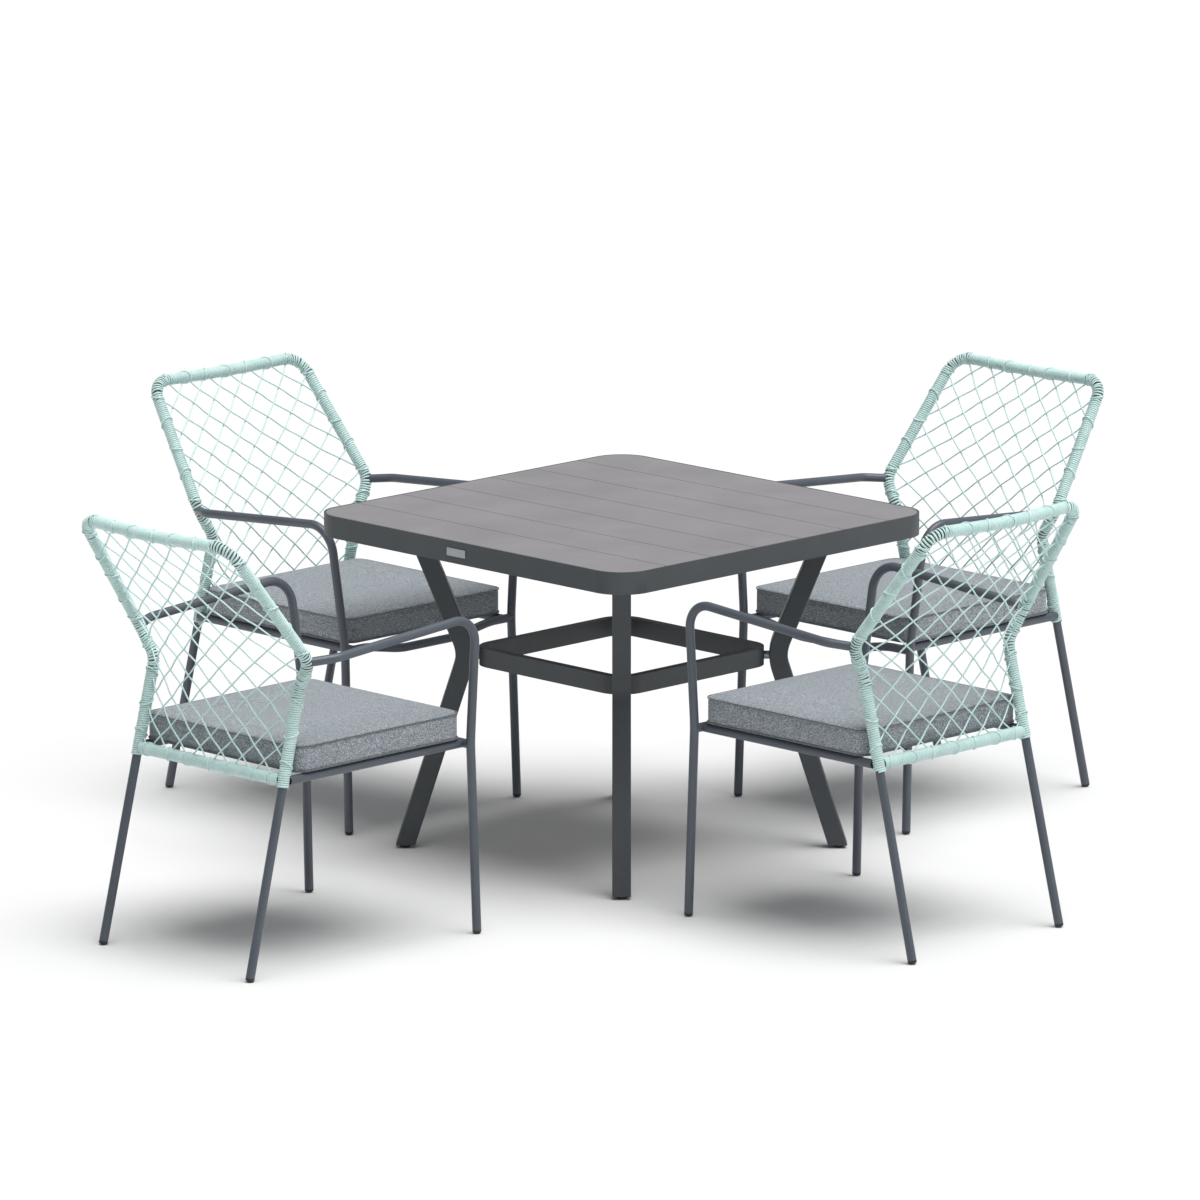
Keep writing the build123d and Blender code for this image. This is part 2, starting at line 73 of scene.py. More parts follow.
# %% [markdown]
# Every finish below is a small graph of shader nodes. One helper adds a node, sets its fields and joins
# its inputs, so that a graph reads as a list. An input is given by name: a number or colour is set on
# the socket, and a socket of another node is linked to it.


# %% Material helpers
def add_node(tree, kind, fields=None, **inputs):
    """Add one shader node, set its fields, and set or link its inputs by name."""
    node = tree.nodes.new("ShaderNode" + kind)
    for field, value in (fields or {}).items():
        setattr(node, field, value)
    for name, value in inputs.items():
        socket = node.inputs[int(name[1:])] if name[1:].isdigit() else node.inputs[name.replace("_", " ")]
        if isinstance(value, bpy.types.NodeSocket):
            tree.links.new(value, socket)
        else:
            socket.default_value = value
    return node


def new_finish(name, **principled):
    """A material with one Principled shader, its fixed values set on its own sockets."""
    material = bpy.data.materials.new(name)
    material.use_nodes = True
    tree = material.node_tree
    tree.nodes.clear()
    shader = add_node(tree, "BsdfPrincipled", **principled)
    add_node(tree, "OutputMaterial", Surface=shader.outputs["BSDF"])
    place = add_node(tree, "TexCoord").outputs["Object"]
    return material, tree, shader, place


def blend_colours(tree, share, first, second):
    """Mix two colours by a share from 0 to 1."""
    mix = add_node(tree, "Mix", {"data_type": "RGBA"}, _0=share, _6=first, _7=second)
    return mix.outputs[2]


def per_metre(spacing_mm):
    """Pattern scale for a noise whose grain should repeat at this spacing."""
    return 1 / (spacing_mm * MM)


def band_scale(spacing_mm):
    """Scale for a wave texture, whose bands lie a twentieth of a full circle apart at scale 1."""
    return per_metre(spacing_mm) * 2 * math.pi / 20


# %% [markdown]
# ## Powder-coated aluminium
# The table and the chair tubes are aluminium, sprayed with polyester powder and baked. The coat flows
# into a skin with a faint orange-peel dimple about a millimetre across; a fine-textured coat, as on the
# planks, is grainier and duller. A dielectric shader with an IOR of 1.5 is right, since the eye sees
# paint and no metal. Grain as fine as the real one would not show, so it is drawn two to three times
# as coarse. The tone of a large sprayed part also drifts a little, over a hand's width or so.


# %% Powder coats
COAT_DRIFT_MM = 140
GLOSS_SPREAD = (-0.06, 0.08)
DIMPLE_HEIGHT = 0.2 * MM


def powder_coat(name, base, lighter, roughness, grain_mm, dimple):
    """Baked powder paint: a soft drift of tone, a fine grain in the gloss and in the surface."""
    material, tree, shader, place = new_finish(name, Roughness=roughness, IOR=1.5)
    drift = add_node(tree, "TexNoise", Vector=place, Scale=per_metre(COAT_DRIFT_MM), Detail=3.0)
    grain = add_node(tree, "TexNoise", Vector=place, Scale=per_metre(grain_mm), Detail=4.0, Roughness=0.6)
    tone = add_node(tree, "MapRange", Value=drift.outputs["Fac"], From_Min=0.3, From_Max=0.7, To_Max=0.7)
    speck = add_node(tree, "MapRange", Value=grain.outputs["Fac"], From_Min=0.35, From_Max=0.75, To_Max=0.3)
    share = add_node(tree, "Math", {"operation": "ADD"}, _0=tone.outputs[0], _1=speck.outputs[0])
    colour = blend_colours(tree, share.outputs[0], linear(base), linear(lighter))
    tree.links.new(colour, shader.inputs["Base Color"])
    gloss = add_node(
        tree, "MapRange", Value=grain.outputs["Fac"],
        To_Min=roughness + GLOSS_SPREAD[0], To_Max=roughness + GLOSS_SPREAD[1],
    )
    tree.links.new(gloss.outputs[0], shader.inputs["Roughness"])
    bump = add_node(tree, "Bump", Height=grain.outputs["Fac"], Strength=dimple, Distance=DIMPLE_HEIGHT)
    tree.links.new(bump.outputs["Normal"], shader.inputs["Normal"])
    return material


CHARCOAL_COAT = powder_coat("powder_coat_charcoal", "3B4043", "444A4E", 0.48, 2.4, 0.25)
WARM_GREY_COAT = powder_coat("powder_coat_warm_grey_fine_texture", "79777A", "858386", 0.58, 1.8, 0.45)
SLATE_COAT = powder_coat("powder_coat_slate_satin", "474D56", "525962", 0.38, 2.4, 0.2)
print("powder coats:", CHARCOAL_COAT.name, WARM_GREY_COAT.name, SLATE_COAT.name)

# %% [markdown]
# ## Polyolefin cord
# The back is wound and netted in braided polyolefin cord, a plastic yarn made for the outdoors. It is
# matt with a slight sheen at grazing angles, and its braid shows as tiny slanted ribs. The cord meshes
# carry their length and their way round as UV coordinates, so the ribs can run along each cord.


# %% Cord finish
RIB_SLANT = math.radians(38)
RIB_HEIGHT = 0.25 * MM
CORD_DRIFT_MM = 22


def braided_cord(name, base, shadow, rib_mm):
    """Braided plastic yarn: two crossing sets of slanted ribs, with painted shade between them."""
    material, tree, shader, place = new_finish(
        name, Roughness=0.62, IOR=1.49, Sheen_Weight=0.25, Sheen_Roughness=0.4
    )
    route = add_node(tree, "UVMap", {"uv_map": "cord"}).outputs["UV"]
    ribs = []
    for slant in (RIB_SLANT, -RIB_SLANT):
        turned = add_node(tree, "Mapping", Vector=route, Rotation=(0, 0, slant))
        wave = add_node(tree, "TexWave", Vector=turned.outputs[0], Scale=band_scale(rib_mm))
        ribs.append(wave.outputs["Fac"])
    weave = add_node(tree, "Math", {"operation": "MAXIMUM"}, _0=ribs[0], _1=ribs[1])
    drift = add_node(tree, "TexNoise", Vector=place, Scale=per_metre(CORD_DRIFT_MM), Detail=3.0)
    # The shadow tone is painted shade in the grooves between the ribs, made patchy by a random drift.
    share = add_node(tree, "Math", {"operation": "MULTIPLY"}, _0=weave.outputs[0], _1=drift.outputs["Fac"])
    fade = add_node(tree, "MapRange", Value=share.outputs[0], From_Max=0.6, To_Min=0.25, To_Max=1.0)
    colour = blend_colours(tree, fade.outputs[0], linear(shadow), linear(base))
    tree.links.new(colour, shader.inputs["Base Color"])
    bump = add_node(tree, "Bump", Height=weave.outputs[0], Strength=0.5, Distance=RIB_HEIGHT)
    tree.links.new(bump.outputs["Normal"], shader.inputs["Normal"])
    return material


MINT_CORD = braided_cord("braided_polyolefin_mint", "CDE6E3", "A1C1BD", 1.6)
print("cord:", MINT_CORD.name)

# %% [markdown]
# ## Heathered polyester
# The cushion covers are woven from yarns of mixed light and dark polyester fibres, spun-dyed for the
# sun, so the cloth looks heathered: small dashes of tone along the warp and the weft. The threads are
# about 0.6 mm apart. That is too fine to show, so they are drawn 1.6 mm apart, and the dashes are
# noise stretched along each thread direction. The fuzz of the yarn gives a soft sheen at the edges.


# %% Cushion cloth
DASH_LENGTH = 7
SPECK_SIZE = 1.6
THREAD_HEIGHT = 0.5 * MM


def heathered_cloth(name, dark, mid, pale, thread_mm):
    """Plain-woven cloth with dashes of dark and pale fibre along both thread directions."""
    material, tree, shader, place = new_finish(
        name, Roughness=0.92, IOR=1.46, Sheen_Weight=0.35, Sheen_Roughness=0.5
    )
    dashes = []
    for long_axis in (0, 1):
        stretch = [per_metre(thread_mm)] * 3
        stretch[long_axis] = per_metre(thread_mm * DASH_LENGTH)
        squeezed = add_node(tree, "Mapping", Vector=place, Scale=stretch)
        noise = add_node(
            tree, "TexNoise", Vector=squeezed.outputs[0], Scale=1.0, Detail=3.0, Roughness=0.65
        )
        dashes.append(noise.outputs["Fac"])
    both = add_node(tree, "Math", {"operation": "ADD"}, _0=dashes[0], _1=dashes[1])
    speck_scale = per_metre(thread_mm * SPECK_SIZE)
    specks = add_node(tree, "TexNoise", Vector=place, Scale=speck_scale, Detail=2.0)
    tone = add_node(tree, "MapRange", Value=both.outputs[0], From_Min=0.78, From_Max=1.22)
    speck = add_node(
        tree, "MapRange", Value=specks.outputs["Fac"], From_Min=0.45, From_Max=0.7, To_Max=0.75
    )
    low = blend_colours(tree, tone.outputs[0], linear(dark), linear(mid))
    colour = blend_colours(tree, speck.outputs[0], low, linear(pale))
    tree.links.new(colour, shader.inputs["Base Color"])
    threads = []
    for direction in ("X", "Y"):
        wave = add_node(
            tree, "TexWave", {"bands_direction": direction}, Vector=place, Scale=band_scale(thread_mm),
            Distortion=1.5, Detail=2.0
        )
        threads.append(wave.outputs["Fac"])
    weave = add_node(tree, "Math", {"operation": "MULTIPLY"}, _0=threads[0], _1=threads[1])
    rough_weave = add_node(tree, "Math", {"operation": "ADD"}, _0=weave.outputs[0], _1=both.outputs[0])
    bump = add_node(tree, "Bump", Height=rough_weave.outputs[0], Strength=0.55, Distance=THREAD_HEIGHT)
    tree.links.new(bump.outputs["Normal"], shader.inputs["Normal"])
    return material


CUSHION_CLOTH = heathered_cloth("woven_polyester_heather_grey", "464C53", "8C949B", "C3CBD0", 1.6)
# A darker copy of the cushion cloth: its darkness is painted shade for the seams.
SEAM_SHADE_CLOTH = heathered_cloth("woven_polyester_painted_seam_shade", "31363C", "5E646B", "7C8288", 1.6)
print("cloth:", CUSHION_CLOTH.name, SEAM_SHADE_CLOTH.name)

# %% [markdown]
# ## The small materials
# Feet and plugs are moulded polypropylene with a fine spark-eroded texture, which turns their gloss into
# a dull, even sheen. The screws are drawn stainless steel and the blank plate is satin-anodised
# aluminium: both are metals, whose fine lines smear a reflection across themselves. The cushion core is
# open-cell polyurethane foam, a chalky surface pitted with cells.


# %% Plastic, steel, plate and foam
LINE_LENGTH_MM = 30
LINE_GLOSS_SPREAD = 0.1


def moulded_plastic(name, colour, paler, texture_mm):
    """Moulded polypropylene: a soft, even sheen over a spark-eroded texture."""
    material, tree, shader, place = new_finish(name, Roughness=0.5, IOR=1.49)
    grain = add_node(tree, "TexNoise", Vector=place, Scale=per_metre(texture_mm), Detail=3.0)
    shades = blend_colours(tree, grain.outputs["Fac"], linear(colour), linear(paler))
    tree.links.new(shades, shader.inputs["Base Color"])
    bump = add_node(tree, "Bump", Height=grain.outputs["Fac"], Strength=0.3, Distance=0.15 * MM)
    tree.links.new(bump.outputs["Normal"], shader.inputs["Normal"])
    return material


def brushed_metal(name, colour, paler, roughness, line_mm):
    """Drawn or brushed metal: fine lines that run one way, in tone and gloss."""
    material, tree, shader, place = new_finish(name, Metallic=1.0, Roughness=roughness)
    squeeze = (per_metre(line_mm), per_metre(LINE_LENGTH_MM), per_metre(line_mm))
    lines = add_node(tree, "Mapping", Vector=place, Scale=squeeze)
    grain = add_node(tree, "TexNoise", Vector=lines.outputs[0], Scale=1.0, Detail=4.0)
    shades = blend_colours(tree, grain.outputs["Fac"], linear(colour), linear(paler))
    tree.links.new(shades, shader.inputs["Base Color"])
    gloss = add_node(
        tree, "MapRange", Value=grain.outputs["Fac"],
        To_Min=roughness - LINE_GLOSS_SPREAD, To_Max=roughness + LINE_GLOSS_SPREAD,
    )
    tree.links.new(gloss.outputs[0], shader.inputs["Roughness"])
    return material


def open_foam(name, colour, shadow, cell_mm):
    """Polyurethane foam: small open cells, with painted shade in the hollow of each cell."""
    material, tree, shader, place = new_finish(name, Roughness=0.95, IOR=1.45)
    cells = add_node(tree, "TexVoronoi", Vector=place, Scale=per_metre(cell_mm))
    shades = blend_colours(tree, cells.outputs["Distance"], linear(shadow), linear(colour))
    tree.links.new(shades, shader.inputs["Base Color"])
    return material


BLACK_PLASTIC = moulded_plastic("moulded_polypropylene_black", "1B1C1E", "2B2D30", 1.2)
STAINLESS = brushed_metal("drawn_stainless_steel", "6E7276", "B9BCC0", 0.35, 0.8)
SATIN_PLATE = brushed_metal("satin_anodised_aluminium", "84888C", "B9BCC0", 0.45, 0.6)
FOAM = open_foam("open_cell_polyurethane_foam", "E8E2CC", "C9C2A8", 1.5)
print("small materials:", [m.name for m in (BLACK_PLASTIC, STAINLESS, SATIN_PLATE, FOAM)])

# %% [markdown]
# Parts that keep their CAD shape only change finish. Each slot of the record gets one finish.

# %% Dress the CAD parts
FINISHES = {
    "table_frame": CHARCOAL_COAT,
    "table_planks": WARM_GREY_COAT,
    "chair_tube": SLATE_COAT,
    "back_cord": MINT_CORD,
    "cushion_fabric": CUSHION_CLOTH,
    "cushion_foam": FOAM,
    "foot_plastic": BLACK_PLASTIC,
    "badge_metal": SATIN_PLATE,
    "fasteners": STAINLESS,
}
for part in frame["record"]["subparts"]:
    node = frame["nodes"][part["node"]]
    node.data.materials.clear()
    node.data.materials.append(FINISHES[part["material_slot"]])

# %% [markdown]
# ## Round bars, drawn along a bent line
# The chair's back is one tube bent in a few places. A bender makes straight runs joined by arcs, so the
# line through the tube is described by its corners and by the radius at each. The function below walks
# along such a line and returns evenly spaced points.


# %% A bent line
def bent_line(corners, radii, step):
    """Points along straight runs joined by tangent arcs, about one step apart."""
    corners = [Vector(corner) for corner in corners]
    stretches = []
    at = corners[0]
    for before, corner, after, radius in zip(corners, corners[1:], corners[2:], radii):
        come = (corner - before).normalized()
        leave = (after - corner).normalized()
        turn = come.angle(leave)
        reach = radius * math.tan(turn / 2)
        begin = corner - come * reach
        inward = (leave - come * come.dot(leave)).normalized()
        hub = begin + inward * radius
        count = max(2, round(radius * turn / step))
        stretches.append((at, begin))
        arc = [
            hub - inward * radius * math.cos(turn * i / count) + come * radius * math.sin(turn * i / count)
            for i in range(count + 1)
        ]
        stretches.append(arc)
        at = arc[-1]
    stretches.append((at, corners[-1]))
    points = [corners[0]]
    for stretch in stretches:
        if len(stretch) == 2:
            start, stop = stretch
            count = max(1, round((stop - start).length / step))
            points += [start.lerp(stop, i / count) for i in range(1, count + 1)]
        else:
            points += stretch[1:]
    return points


def arc_lengths(points):
    """Distance along the line at each of its points."""
    lengths = [0.0]
    for before, after in zip(points, points[1:]):
        lengths.append(lengths[-1] + (after - before).length)
    return lengths


def carried_frames(points):
    """A tangent and two cross directions at each point, turned as little as possible."""
    frames = []
    side = None
    for i, point in enumerate(points):
        before = points[max(i - 1, 0)]
        after = points[min(i + 1, len(points) - 1)]
        tangent = (after - before).normalized()
        if side is None:
            side = tangent.orthogonal()
        side = (side - tangent * tangent.dot(side)).normalized()
        frames.append((tangent, side, tangent.cross(side)))
    return frames


print("helpers for bent lines ready")

# %% [markdown]
# A cord is a tube swept along its own line. Its mesh is built ring by ring. Length and way round go
# into a UV layer called cord, in metres, which is what the braid pattern reads. The section can be
# flattened, since a cord pulled tight over a tube is wider than it is high.


# %% Cord mesh
class CordMesh:
    """Collects the rings of many cords into one mesh."""

    def __init__(self, sides):
        self.sides = sides
        self.verts = []
        self.faces = []
        self.uvs = []

    def add(self, points, wide, high, outward=None, closed=False):
        """One cord along points; outward gives, at each point, which way its flat side faces."""
        frames = carried_frames(points)
        lengths = arc_lengths(points)
        base = len(self.verts)
        for i, (point, (tangent, side, up)) in enumerate(zip(points, frames)):
            if outward is not None:
                up = (outward[i] - tangent * tangent.dot(outward[i])).normalized()
                side = up.cross(tangent)
            for j in range(self.sides):
                angle = 2 * math.pi * j / self.sides
                self.verts.append(point + side * wide * math.cos(angle) + up * high * math.sin(angle))
        girth = math.pi * (wide + high)
        rings = len(points) if closed else len(points) - 1
        for i in range(rings):
            k = (i + 1) % len(points)
            far = lengths[i + 1] if i + 1 < len(points) else lengths[i]
            for j in range(self.sides):
                n = (j + 1) % self.sides
                self.faces.append((
                    base + i * self.sides + j, base + i * self.sides + n,
                    base + k * self.sides + n, base + k * self.sides + j,
                ))
                low, high_share = girth * j / self.sides, girth * (j + 1) / self.sides
                self.uvs += [(lengths[i], low), (lengths[i], high_share), (far, high_share), (far, low)]
        if not closed:
            last = base + (len(points) - 1) * self.sides
            self.faces.append(tuple(base + j for j in reversed(range(self.sides))))
            self.faces.append(tuple(last + j for j in range(self.sides)))
            self.uvs += [(0.0, 0.0)] * (2 * self.sides)

    def mesh(self, name, material):
        """The finished mesh, shaded smooth, with its UV layer."""
        mesh = bpy.data.meshes.new(name)
        mesh.from_pydata(self.verts, [], self.faces)
        layer = mesh.uv_layers.new(name="cord")
        layer.data.foreach_set("uv", [value for uv in self.uvs for value in uv])
        mesh.shade_smooth()
        mesh.materials.append(material)
        mesh.update()
        return mesh


print("cord maker ready")

# %% [markdown]
# ## Where each chair stands
# All four chairs are alike, so each visual piece is made once, in the chair's own frame, and put on
# every chair. The frame of a chair comes from the CAD parts: its cushion gives the middle, and the
# joint that slides the chair away from the table gives its back. The sitter faces +Y in that frame.

# %% Chair frames
CHAIRS = ["chair_1", "chair_2", "chair_3", "chair_4"]
CUSHION_MIDDLE_Y = -9 * MM


def chair_matrix(chair):
    """From the chair's own frame to the set's frame."""
    low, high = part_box(chair + "_cushion_cover")
    slide = next(j for j in frame["joints"] if j["name"] == chair + "_slide")
    ahead = -Vector(slide["axis"])
    across = ahead.cross(Vector((0, 0, 1)))
    middle = (low + high) / 2
    origin = Vector((middle.x, middle.y, 0)) - ahead * CUSHION_MIDDLE_Y
    turn = Matrix((across, ahead, Vector((0, 0, 1)))).transposed().to_4x4()
    return Matrix.Translation(origin) @ turn


CHAIR_MATRIX = {chair: chair_matrix(chair) for chair in CHAIRS}


def put_on_chairs(mesh, piece, node, body="chair"):
    """Copy a chair-frame mesh to all four chairs, in place of one CAD node."""
    made = []
    for chair in CHAIRS:
        copy = bpy.data.objects.new(f"{chair}_{piece}", mesh.copy())
        bpy.context.scene.collection.objects.link(copy)
        copy.matrix_world = CHAIR_MATRIX[chair]
        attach(copy, chair.replace("chair", body))
        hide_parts(f"{chair}_{node}")
        made.append(copy)
    return made


print("chair middles:", {c: tuple(round(v, 3) for v in m.translation) for c, m in CHAIR_MATRIX.items()})

# %% [markdown]
# ## The winding
# Cord is wound round the back loop, turn beside turn, from the seat up one side, over the top, down the
# other side, and along the rail at its foot. On straight runs the turns lie tight. Round the bends they
# open on the outside of the curve, lean a little, and let the dark tube show between them. A helix is
# the honest model: one long cord whose centre circles the tube and moves on by one cord width a turn.

# %% The line of the back tube
REAR_FOOT = Vector((224, -370, 0)) * MM
UPRIGHT_TOP = Vector((219.5, -221, 590)) * MM
KINK = Vector((257, -228, 652)) * MM
BACK_CORNER = Vector((222, -415, 910)) * MM
BACK_MIDDLE = Vector((0, -421, 904)) * MM
SEAT_RAIL_HEIGHT = 405 * MM
TUBE_RADIUS = 9.5 * MM
LOOP_RADII = [r * MM for r in (55, 55, 48, 2000, 48, 55, 55)]
FOOT_RAIL_RADIUS = 2000 * MM
FOOT_RAIL_BOW = 3 * MM
LINE_STEP = 4 * MM


def mirrored(point):
    """The same place on the chair's other side."""
    return Vector((-point.x, point.y, point.z))


def upright_point(height):
    """A point on the straight part of the rear leg."""
    return REAR_FOOT.lerp(UPRIGHT_TOP, height / UPRIGHT_TOP.z)


WRAP_START = upright_point(SEAT_RAIL_HEIGHT - 15 * MM)
right_half = [WRAP_START, UPRIGHT_TOP, KINK, BACK_CORNER]
loop_corners = right_half + [BACK_MIDDLE] + [mirrored(p) for p in reversed(right_half)]
back_loop = bent_line(loop_corners, LOOP_RADII, LINE_STEP)
rail_end = upright_point(SEAT_RAIL_HEIGHT)
rail_middle = Vector((0, rail_end.y - FOOT_RAIL_BOW, SEAT_RAIL_HEIGHT))
foot_rail = bent_line([rail_end, rail_middle, mirrored(rail_end)], [FOOT_RAIL_RADIUS], LINE_STEP)
for line_name, line in (("back loop", back_loop), ("foot rail", foot_rail)):
    print(line_name, round(arc_lengths(line)[-1], 3), "m")

# %% [markdown]
# No two turns are wound alike. At the start of each turn the hand pulls the cord a little askew and
# leaves it a little slack, and both are worse round a bend. A seeded random draw gives each turn its
# lean and its slack, so the winding looks made by hand and is the same on every run.

# %% Wind the cord
WOUND_WIDTH = 4.6 * MM
WOUND_HEIGHT = 3.4 * MM
TURN_POINTS = 14
SHARPEST_BEND = 0.55
LEAN_STRAIGHT, LEAN_IN_BENDS = 0.15, 1.5
SLACK_STRAIGHT, SLACK_IN_BENDS = 0.12, 0.7
PITCH_STRAIGHT, PITCH_IN_BENDS = 1.03, 0.38
WINDING_SEED = 7
FOOT_RAIL_MARGIN = 11 * MM
CORD_GAP = 0.1 * MM


def bend_amount(frames, i, reach=4):
    """How sharply the line turns near a point, from 0 on a straight run."""
    first = frames[max(i - reach, 0)][0]
    last = frames[min(i + reach, len(frames) - 1)][0]
    return first.angle(last)


def winding(line, chance, margin):
    """Centreline of a cord wound round the line, with its outward direction at each point."""
    frames = carried_frames(line)
    lengths = arc_lengths(line)
    travel = margin
    points, outward = [], []
    i = 0
    angle = 0.0
    lean = 0.0
    slack = 0.0
    while travel < lengths[-1] - margin:
        while lengths[i + 1] < travel:
            i += 1
        share = (travel - lengths[i]) / (lengths[i + 1] - lengths[i])
        middle = line[i].lerp(line[i + 1], share)
        tangent, side, up = frames[i]
        bend = min(bend_amount(frames, i) / SHARPEST_BEND, 1.0)
        if len(points) % TURN_POINTS == 0:
            lean = chance.uniform(-1, 1) * (LEAN_STRAIGHT + LEAN_IN_BENDS * bend) * MM
            slack = chance.uniform(0, SLACK_STRAIGHT + SLACK_IN_BENDS * bend) * MM
        away = side * math.cos(angle) + up * math.sin(angle)
        radius = TUBE_RADIUS + WOUND_HEIGHT / 2 + CORD_GAP + slack * (0.5 + 0.5 * math.sin(angle))
        points.append(middle + away * radius + tangent * lean * math.sin(angle + 1.0))
        outward.append(away)
        angle += 2 * math.pi / TURN_POINTS
        pitch = WOUND_WIDTH * (PITCH_STRAIGHT + PITCH_IN_BENDS * bend)
        travel += pitch / TURN_POINTS
    return points, outward


chance = random.Random(WINDING_SEED)
wound = CordMesh(sides=6)
for line, margin in ((back_loop, 0.0), (foot_rail, FOOT_RAIL_MARGIN)):
    points, outward = winding(line, chance, margin)
    wound.add(points, WOUND_WIDTH / 2, WOUND_HEIGHT / 2, outward)
    print("winding of", len(points) // TURN_POINTS, "turns")
windings = put_on_chairs(wound.mesh("back_winding", MINT_CORD), "cord_winding", "back_wrap")
print("winding faces on each chair:", len(windings[0].data.polygons))

# %% [markdown]
# ## The net
# The back is an open net of single cords that cross on the slant. Laid flat it would be squares set on
# their points. Hung in the loop it stretches: the meshes near the waist are narrow and those above are
# wide. A grid over the opening, pinned to the loop all round, carries that shape. Its edge is the back
# loop from seat to corner on each side, the top rail, and the foot rail.

# %% The edge of the net
MESHES_ACROSS = 7
MESHES_UP = 9
FINE = 8


def at_length(line, lengths, travel):
    """The point at a distance along a line."""
    i = 0
    while i < len(lengths) - 2 and lengths[i + 1] < travel:
        i += 1
    share = (travel - lengths[i]) / (lengths[i + 1] - lengths[i])
    return line[i].lerp(line[i + 1], share)


def evenly(line, count):
    """Points that cut a line into equal lengths."""
    lengths = arc_lengths(line)
    return [at_length(line, lengths, lengths[-1] * i / count) for i in range(count + 1)]


def nearest(line, goal):
    """Index of the point of a line that is nearest to a place."""
    return min(range(len(line)), key=lambda i: (line[i] - goal).length)


start_of_net = nearest(back_loop, rail_end)
corner_right = nearest(back_loop, BACK_CORNER)
corner_left = len(back_loop) - 1 - corner_right
end_of_net = len(back_loop) - 1 - start_of_net
columns = MESHES_ACROSS * FINE
rows = MESHES_UP * FINE
right_edge = evenly(back_loop[start_of_net:corner_right + 1], rows)
top_edge = evenly(back_loop[corner_right:corner_left + 1], columns)
left_edge = evenly(back_loop[corner_left:end_of_net + 1], rows)[::-1]
bottom_edge = evenly(foot_rail, columns)
print("net edge:", rows, "steps up,", columns, "steps across")

# %% [markdown]
# A net of equal strings under tension settles where each point is the mean of its four neighbours. The
# grid starts as a smooth patch between its edges, and every inner point then moves to that mean, over
# and over. Moving a bit past the mean gets there in fewer sweeps, and the last sweeps move exactly to it.

# %% Let the net settle
SWEEPS = 260
HASTY_SWEEPS = 200
HASTE = 1.6
net = {}
for v in range(rows + 1):
    for u in range(columns + 1):
        across = right_edge[v].lerp(left_edge[v], u / columns)
        up = bottom_edge[u].lerp(top_edge[u], v / rows)
        low = bottom_edge[0].lerp(bottom_edge[columns], u / columns)
        high = top_edge[0].lerp(top_edge[columns], u / columns)
        net[u, v] = across + up - low.lerp(high, v / rows)
for u in range(columns + 1):
    net[u, 0] = bottom_edge[u]
    net[u, rows] = top_edge[u]
for v in range(rows + 1):
    net[0, v] = right_edge[v]
    net[columns, v] = left_edge[v]
for sweep in range(SWEEPS):
    for v in range(1, rows):
        for u in range(1, columns):
            mean = (net[u - 1, v] + net[u + 1, v] + net[u, v - 1] + net[u, v + 1]) / 4
            net[u, v] = net[u, v].lerp(mean, HASTE) if sweep < HASTY_SWEEPS else mean


def net_point(u, v):
    """A place on the settled net, u meshes across and v meshes up."""
    u, v = min(max(u * FINE, 0), columns), min(max(v * FINE, 0), rows)
    i, j = min(int(u), columns - 1), min(int(v), rows - 1)
    low = net[i, j].lerp(net[i + 1, j], u - i)
    high = net[i, j + 1].lerp(net[i + 1, j + 1], u - i)
    return low.lerp(high, v - j)


def net_normal(u, v):
    """The way out of the net, towards the sitter."""
    slack = 0.25
    across = net_point(u + slack, v) - net_point(u - slack, v)
    up = net_point(u, v + slack) - net_point(u, v - slack)
    return up.cross(across).normalized()


print("net centre:", [round(c, 3) for c in net_point(MESHES_ACROSS / 2, MESHES_UP / 2)])

# %% [markdown]
# Each cord of the net runs on a diagonal from one edge to another and turns back where it meets the
# loop, so the whole net is a few long cords. There are no knots: at a crossing one cord passes over
# the other, and at its next crossing it passes under. A cosine along the cord gives that, since it
# is highest at one crossing and lowest at the next.

# %% Net cords
NET_CORD_RADIUS = 1.75 * MM
STEPS_PER_MESH = 12
EDGE_FADE = 0.2


def weave_height(u, v, way):
    """How far a cord stands off the net, from 1 over a crossing to -1 under the next one."""
    total, apart = u + v - 0.5, u - v - 0.5
    if way > 0:
        return math.cos(math.pi * round(apart)) * math.cos(math.pi * total)
    return -math.cos(math.pi * round(total)) * math.cos(math.pi * apart)


def net_run(u0, v0, way):
    """Points of one diagonal, from an edge of the net to where it meets the next edge."""
    length = min(MESHES_UP - v0, MESHES_ACROSS - u0 if way > 0 else u0)
    count = round(length * STEPS_PER_MESH)
    points = []
    for i in range(count + 1):
        t = length * i / count
        u, v = u0 + way * t, v0 + t
        fade = min(1.0, min(t, length - t) / EDGE_FADE)
        lift = weave_height(u, v, way) * NET_CORD_RADIUS * fade
        points.append(net_point(u, v) + net_normal(u, v) * lift)
    return points


net_cords = CordMesh(sides=8)
run_count = 0
for k in range(MESHES_ACROSS):
    for way in (1, -1):
        net_cords.add(net_run(k + 0.5, 0.0, way), NET_CORD_RADIUS, NET_CORD_RADIUS)
        run_count += 1
for k in range(MESHES_UP):
    for edge, way in ((0.0, 1), (float(MESHES_ACROSS), -1)):
        net_cords.add(net_run(edge, k + 0.5, way), NET_CORD_RADIUS, NET_CORD_RADIUS)
        run_count += 1
print("straight runs in the net:", run_count)

# %% [markdown]
# Where a net cord meets the loop, it goes once round the winding and comes back. That turn shows as a
# slanted tie on the smooth winding, and every net edge has one, so each is drawn as a small ring that
# leans along the tube.

# %% Ties round the loop
TIE_LEAN = 8 * MM
TIE_POINTS = 28
TIE_SINK = 0.75
TIE_REACH = 2 * MM
TIE_ORBIT = TUBE_RADIUS + WOUND_HEIGHT + (1 - TIE_SINK) * NET_CORD_RADIUS


